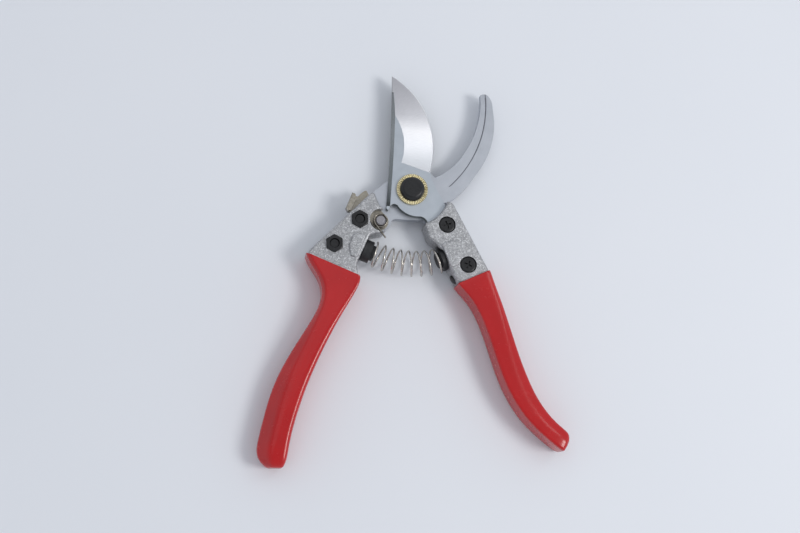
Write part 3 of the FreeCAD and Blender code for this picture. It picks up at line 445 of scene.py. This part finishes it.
grip_finish, tree, shader = new_material("dipped_vinyl")
cloud = use(tree, grain, Scale=55.0, Detail=3.0, Roughness=0.5)["Amount"]
peel = use(tree, grain, Scale=420.0, Detail=2.0, Roughness=0.5)["Amount"]
scuff = use(tree, grain, Scale=160.0, Detail=6.0, Roughness=0.75)["Amount"]
vinyl = colours(tree, cloud, [(0.0, (0.41, 0.0042, 0.0060)), (1.0, (0.47, 0.0065, 0.0085))])
tree.links.new(vinyl, shader.inputs["Base Color"])
dulled = spread(tree, times(tree, peel, scuff), 0.0, 0.9, 0.24, 0.30)
tree.links.new(dulled, shader.inputs["Roughness"])
shader.inputs["Specular IOR Level"].default_value = 0.35
shader.inputs["Coat Weight"].default_value = 0.25
shader.inputs["Coat Roughness"].default_value = 0.06
bump(tree, shader, cloud, 0.05, 0.00020)

GRIP_TOP = 0.0164
LIP = 0.0014                                # thickness of the vinyl at the mouth
LIP_EDGE = 0.0003
LIP_DEPTH = 0.0030                          # how far it is turned in
MM = 0.001
CORNER_SHARE = 0.42                         # most of a side that a rounded corner takes
UNDER_EDGE = 0.004                          # least softness of the lower inner edge


def section(outer, inner, short, ridge, wall, edge, soft):
    """Corners of a grip's section, each as three points, so that subdivision rounds it."""
    outer, inner = Vector(outer) * MM, Vector(inner) * MM
    middle, half = GRIP_TOP / 2, GRIP_TOP / 2 - short
    soft = (*soft, edge * MM, max(edge * MM, UNDER_EDGE), soft[2])
    corners = [(0.0, -wall), (0.0, wall), (ridge, 1.0), (1.0, 1.0), (1.0, -1.0), (ridge, -1.0)]
    turns = [Vector((*outer.lerp(inner, share), middle + half * rise)) for share, rise in corners]
    points = []
    for index, corner in enumerate(turns):
        for other in (turns[index - 1], turns[(index + 1) % 6]):
            run = min(soft[index], (other - corner).length * CORNER_SHARE)
            points.append(corner + (other - corner).normalized() * run)
        points.insert(-1, corner)
    return points


def grow(shape, rim, points):
    """Extrudes a rim and moves it to the next section; returns the new rim."""
    order = {vertex.co.to_tuple(9): index for index, vertex in enumerate(rim)}
    edges = [edge for edge in shape.edges if (edge.is_boundary or edge.is_wire)
             and edge.verts[0] in rim and edge.verts[1] in rim]
    made = bmesh.ops.extrude_edge_only(shape, edges=edges)["geom"]
    ring = [None] * len(rim)
    for vertex in made:
        if isinstance(vertex, bmesh.types.BMVert):
            ring[order[vertex.co.to_tuple(9)]] = vertex
    for vertex, point in zip(ring, points):
        vertex.co = point
    return ring


def close(shape, rim):
    """Fills the opening at a rim."""
    edges = [edge for edge in shape.edges if edge.is_boundary and edge.verts[0] in rim]
    bmesh.ops.contextual_create(shape, geom=edges)


def shrunk(points, share, shift):
    """A section drawn in about its middle and moved."""
    middle = sum(points, Vector()) / len(points)
    return [middle + (point - middle) * share + shift for point in points]


def sleeve(name, source, body, stations, end_share, soft):
    """A dipped grip: sections along the tang, closed at the end and turned in at the mouth."""
    sections = [section(*station, soft) for station in stations]
    shape = bmesh.new()
    first = bmesh.ops.create_circle(shape, segments=len(sections[0]), radius=0.01)["verts"]
    for vertex, point in zip(first, sections[0]):
        vertex.co = point
    rim = first
    for points in sections[1:]:
        rim = grow(shape, rim, points)
    ahead = (sum(sections[-1], Vector()) - sum(sections[-2], Vector())) / len(sections[-1])
    for share, forward in end_share:
        rim = grow(shape, rim, shrunk(sections[-1], share, ahead.normalized() * forward))
    close(shape, rim)
    # the mouth: a flat lip, then a wall down inside that hides against the casting
    outer, inner = (Vector((*point, 0)) * MM for point in stations[0][:2])
    inward = into_grip(outer, inner)
    width = (inner - outer).length
    middle = sum(sections[0], Vector()) / len(sections[0])
    rim = first
    for gap, depth in ((LIP_EDGE, 0.0), (LIP - LIP_EDGE, 0.0), (LIP, 0.0002), (LIP, LIP_DEPTH)):
        level, upright = 1 - 2 * gap / width, 1 - 2 * gap / GRIP_TOP
        squeeze = Matrix.Diagonal((level, level, upright)).to_3x3()
        rim = grow(shape, rim, [middle + squeeze @ (point - middle) + inward * depth
                                for point in sections[0]])
    close(shape, rim)
    for face in shape.faces:
        face.smooth = True
    piece = keep_piece(name, shape, grip_finish)
    smooth = piece.modifiers.new("soft_vinyl", "SUBSURF")
    smooth.levels = smooth.render_levels = 2
    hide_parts(source)
    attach(piece, body)


# Each station is the outer and inner side in mm, how far the section stops short of the top in m,
# how far across the ridge lies, how high the outer wall stands, and how soft the inner edges are
# in mm.  After them come the drawn in sections that round the end, and how soft the outer edges
# are in m.
LEFT_STATIONS = [
    ((-53.9, -35.2), (-26.9, -46.3), 0.0, 0.07, 0.78, 1.4),
    ((-53.5, -36.2), (-26.6, -47.1), 0.0, 0.08, 0.77, 1.4),
    ((-51.8, -40.3), (-26.8, -49.4), 0.0, 0.10, 0.74, 1.5),
    ((-48.7, -44.6), (-27.9, -52.2), 0.0, 0.11, 0.70, 1.7),
    ((-46.2, -49.4), (-29.5, -55.3), 0.0, 0.12, 0.66, 2.0),
    ((-45.3, -54.6), (-31.7, -59.1), 0.0, 0.12, 0.62, 2.3),
    ((-46.2, -60.3), (-34.4, -63.7), 0.0, 0.14, 0.58, 2.7),
    ((-49.4, -66.9), (-37.6, -69.3), 0.0, 0.20, 0.52, 3.2),
    ((-54.1, -74.6), (-41.3, -76.6), 0.0, 0.28, 0.44, 3.8),
    ((-59.0, -82.6), (-45.4, -85.1), 0.0, 0.34, 0.38, 4.4),
    ((-64.1, -91.5), (-49.2, -93.8), 0.0, 0.38, 0.34, 5.0),
    ((-68.2, -100.5), (-52.5, -102.2), 0.0, 0.41, 0.30, 5.4),
    ((-71.1, -109.6), (-55.2, -110.2), 0.0, 0.42, 0.28, 5.6),
    ((-73.3, -118.8), (-57.6, -118.2), 0.0, 0.42, 0.26, 5.6),
    ((-75.2, -127.0), (-59.4, -125.4), 0.0, 0.41, 0.26, 5.4),
    ((-76.2, -132.5), (-60.4, -131.0), 0.0, 0.40, 0.28, 5.0),
    ((-75.2, -137.0), (-61.2, -136.6), 0.0003, 0.38, 0.34, 4.2),
    ((-72.2, -140.2), (-62.6, -140.4), 0.0012, 0.34, 0.42, 3.4),
]
RIGHT_STATIONS = [
    ((39.7, -41.4), (22.9, -49.0), 0.0, 0.08, 0.80, 1.0),
    ((40.2, -42.6), (23.6, -50.1), 0.0, 0.08, 0.80, 1.0),
    ((41.8, -47.6), (26.0, -52.6), 0.0, 0.10, 0.80, 1.1),
    ((44.0, -53.6), (29.4, -56.4), 0.0, 0.12, 0.80, 1.2),
    ((46.5, -60.5), (32.9, -61.9), 0.0, 0.16, 0.80, 1.3),
    ((48.7, -67.6), (36.0, -68.8), 0.0, 0.20, 0.80, 1.4),
    ((51.1, -74.9), (38.6, -76.2), 0.0, 0.26, 0.80, 1.5),
    ((53.4, -82.5), (41.0, -83.8), 0.0, 0.32, 0.80, 1.6),
    ((56.0, -89.9), (43.4, -91.3), 0.0, 0.38, 0.80, 1.7),
    ((58.9, -97.3), (46.2, -98.8), 0.0, 0.42, 0.80, 1.8),
    ((62.2, -104.5), (49.8, -106.2), 0.0, 0.45, 0.80, 1.9),
    ((66.1, -110.7), (54.2, -113.2), 0.0, 0.47, 0.80, 2.0),
    ((70.3, -115.9), (58.9, -118.9), 0.0, 0.48, 0.80, 2.0),
    ((74.2, -119.5), (63.8, -123.6), 0.0, 0.48, 0.80, 2.1),
    ((77.3, -122.0), (68.9, -127.8), 0.0, 0.46, 0.80, 2.2),
    ((78.9, -123.8), (72.8, -130.8), 0.0002, 0.44, 0.80, 2.4),
    ((78.9, -126.4), (75.3, -132.2), 0.0009, 0.42, 0.80, 2.6),
]
sleeve("left_dipped_grip", "left_grip", "left", LEFT_STATIONS, ((0.75, 0.0009), (0.4, 0.0010)),
       (0.0018, 0.0018, 0.0034))
sleeve("right_dipped_grip", "right_grip", "right", RIGHT_STATIONS, ((0.75, 0.0008), (0.4, 0.0009)),
       (0.0030, 0.0030, 0.0075))


# ---------------------------------------------------------------- black fasteners
# The pivot bolt, its nut and washer, and the screws and nuts that hold the plates in the castings
# are blackened steel, lightly oiled, with the black rubbed thin on their corners.

black_finish, tree, shader = new_material("blackened_steel")
grime = use(tree, grain, Scale=900.0, Detail=4.0, Roughness=0.6)["Amount"]
smear = use(tree, grain, Scale=220.0, Detail=3.0, Roughness=0.5)["Amount"]
rubbed_edge_and_highlight = use(tree, edge_wear_and_highlight, Width=0.0003, Scale=1200.0)["WearAndHighlight"]
oxide = colours(tree, grime, [(0.0, (0.005, 0.005, 0.006)), (1.0, (0.014, 0.0145, 0.016))])
rubbed = blend_colours(tree, spread(tree, rubbed_edge_and_highlight, 0.0, 1.0, 0.0, 0.35), oxide, (0.10, 0.10, 0.11))
tree.links.new(rubbed, shader.inputs["Base Color"])
tree.links.new(spread(tree, smear, 0.0, 1.0, 0.26, 0.40), shader.inputs["Roughness"])
shader.inputs["Specular IOR Level"].default_value = 0.4
bump(tree, shader, grime, 0.15, 0.00005)
for name in ("pivot_bolt", "lower_washer", "pivot_nut", "blade_screws", "blade_screw_nuts",
             "hook_screws", "hook_nuts"):
    finish(name, black_finish)


# ---------------------------------------------------------------- ring
# A thin brass ring clamped under the bolt's head, with fine teeth pressed across it all the way
# round.  It is a little tarnished, and darker in the teeth.

TEETH = 52
TEETH_FROM = (0.0068, 0.0070)               # radius outside which the teeth show

ring_finish, tree, shader = new_material("pale_brass")
wheel = use(tree, ground_lines, Centre=(0.0, 0.0, 0.0), Along=30.0, Across=900.0)
place = place_parts(tree)
turn = put(tree, "ShaderNodeMath", "ARCTAN2")
tree.links.new(place["Y"], turn.inputs[0])
tree.links.new(place["X"], turn.inputs[1])
tooth = put(tree, "ShaderNodeMath", "MULTIPLY")
tree.links.new(turn.outputs[0], tooth.inputs[0])
tooth.inputs[1].default_value = TEETH
wave = put(tree, "ShaderNodeMath", "SINE")
tree.links.new(tooth.outputs[0], wave.inputs[0])
pressed = times(tree, spread(tree, wave.outputs[0], 0.1, 0.6),
                spread(tree, wheel["Radius"], *TEETH_FROM))
tarnish = use(tree, grain, Scale=700.0, Detail=3.0, Roughness=0.5)["Amount"]
brass = colours(tree, tarnish, [(0.0, (0.66, 0.56, 0.30)), (1.0, (0.88, 0.80, 0.52))])
in_teeth = spread(tree, pressed, 0.0, 1.0, 0.0, 0.75)
toothed = blend_colours(tree, in_teeth, brass, (0.13, 0.09, 0.03))
tree.links.new(toothed, shader.inputs["Base Color"])
tree.links.new(spread(tree, tarnish, 0.0, 1.0, 0.26, 0.38), shader.inputs["Roughness"])
shader.inputs["Metallic"].default_value = 1.0
bump(tree, shader, wave.outputs[0], 0.3, 0.00010)
finish("pivot_ring", ring_finish)


# ---------------------------------------------------------------- lock
# The thumb lever is nickel plated steel, a little yellowed and dull, and its colour is darkened all
# over as painted shade from the casting that covers most of it.  It turns on a steel pin riveted in
# the hook, whose top is turned in fine rings.

PIN_PLACE = (-0.0163, -0.0170, 0.0)

nickel_finish, tree, shader = new_material("warm_nickel")
dull = use(tree, grain, Scale=800.0, Detail=4.0, Roughness=0.6)["Amount"]
patch = use(tree, grain, Scale=180.0, Detail=3.0, Roughness=0.5)["Amount"]
rubbed_edge_and_highlight = use(tree, edge_wear_and_highlight, Width=0.0003, Scale=700.0)["WearAndHighlight"]
# Nickel darkened all over as painted shade from the casting above, with a yellowed tone.
nickel_with_painted_shade = colours(tree, dull, [(0.0, (0.20, 0.185, 0.155)), (1.0, (0.40, 0.375, 0.33))])
plated = blend_colours(tree, spread(tree, patch, 0.0, 1.0, 0.0, 0.45), nickel_with_painted_shade, (0.42, 0.38, 0.30))
worn = blend_colours(tree, rubbed_edge_and_highlight, plated, (0.66, 0.64, 0.58))
tree.links.new(worn, shader.inputs["Base Color"])
tree.links.new(spread(tree, dull, 0.0, 1.0, 0.30, 0.46), shader.inputs["Roughness"])
shader.inputs["Metallic"].default_value = 0.95
bump(tree, shader, dull, 0.2, 0.00006)
finish("lock_lever", nickel_finish)

pin_finish, tree, shader = new_material("turned_steel")
wheel = use(tree, ground_lines, Centre=PIN_PLACE, Along=3.0, Across=5200.0)
rings = colours(tree, wheel["Lines"], [(0.0, (0.26, 0.255, 0.27)), (1.0, (0.36, 0.35, 0.37))])
tree.links.new(rings, shader.inputs["Base Color"])
tree.links.new(spread(tree, wheel["Lines"], 0.0, 1.0, 0.30, 0.42), shader.inputs["Roughness"])
shader.inputs["Metallic"].default_value = 0.95
bump(tree, shader, wheel["Lines"], 0.2, 0.00004)
finish("lock_pin", pin_finish)


# ---------------------------------------------------------------- springs
# Drawn steel wire, bright in the main spring and oily in the lock's.  The main spring stands on
# the two seats and bows in a shallow arch between them.


def speckled(name, scale, roughness, dark, light, gloss, metallic, strength, distance):
    """A finish whose colour, gloss and relief all follow one fine grain."""
    material, tree, shader = new_material(name)
    amount = use(tree, grain, Scale=scale, Detail=3.0, Roughness=roughness)["Amount"]
    tree.links.new(colours(tree, amount, [(0.0, dark), (1.0, light)]), shader.inputs["Base Color"])
    tree.links.new(spread(tree, amount, 0.0, 1.0, *gloss), shader.inputs["Roughness"])
    shader.inputs["Metallic"].default_value = metallic
    bump(tree, shader, amount, strength, distance)
    return material


wire_finish = speckled("bright_wire", 1500.0, 0.5, (0.40, 0.37, 0.34), (0.66, 0.63, 0.58),
                       (0.16, 0.26), 1.0, 0.1, 0.00002)
oily_finish = speckled("oiled_wire", 900.0, 0.6, (0.14, 0.125, 0.10), (0.42, 0.39, 0.34),
                       (0.24, 0.40), 1.0, 0.1, 0.00003)
finish("lock_spring", oily_finish)

COIL_RADIUS = 0.0063
WIRE_RADIUS = 0.000475
WIRE_SIDES = 10
COILS = 7.5
STEPS_PER_COIL = 32
ARCH_LENGTH = 0.0352
ARCH = (Vector((-0.0199, -0.0332, 0.0082)), Vector((-0.0035, -0.0410, 0.0082)),
        Vector((0.0141, -0.0361, 0.0082)))

# wound straight, with its length counted as one, then laid along the arch
coil = bmesh.new()
bmesh.ops.create_circle(coil, segments=WIRE_SIDES, radius=WIRE_RADIUS,
                        matrix=Matrix.Translation((0, COIL_RADIUS, 0)))
bmesh.ops.scale(coil, verts=coil.verts, vec=(1 / ARCH_LENGTH, 1, 1))
steps = int(COILS * STEPS_PER_COIL)
bmesh.ops.spin(coil, geom=coil.verts[:] + coil.edges[:], cent=(0, 0, 0), axis=(1, 0, 0),
               dvec=(1.0 / steps, 0, 0), angle=2 * math.pi * COILS, steps=steps, use_merge=False)
bmesh.ops.holes_fill(coil, edges=[edge for edge in coil.edges if edge.is_boundary], sides=0)
start, lift, stop = ARCH
for vertex in coil.verts:
    share = vertex.co.x
    heading = (2 * (1 - share) * (lift - start) + 2 * share * (stop - lift)).normalized()
    side = Vector((0, 0, 1)).cross(heading)
    centre = (1 - share) ** 2 * start + 2 * share * (1 - share) * lift + share ** 2 * stop
    vertex.co = centre + side * vertex.co.y + Vector((0, 0, vertex.co.z))
for face in coil.faces:
    face.smooth = True
main_coil = keep_piece("main_coil", coil, wire_finish)
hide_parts("main_spring")
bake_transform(main_coil)


# ---------------------------------------------------------------- spring seats and bumper
# Black moulded seats hold the spring's ends, and a black rubber dome stops the handles.  All three
# are pressed into the castings and are matt, with a film of dust.

rubber_finish = speckled("black_rubber", 600.0, 0.6, (0.006, 0.006, 0.007), (0.020, 0.021, 0.023),
                         (0.38, 0.52), 0.0, 0.2, 0.00008)
for name in ("left_spring_seat", "right_spring_seat", "bumper"):
    finish(name, rubber_finish)
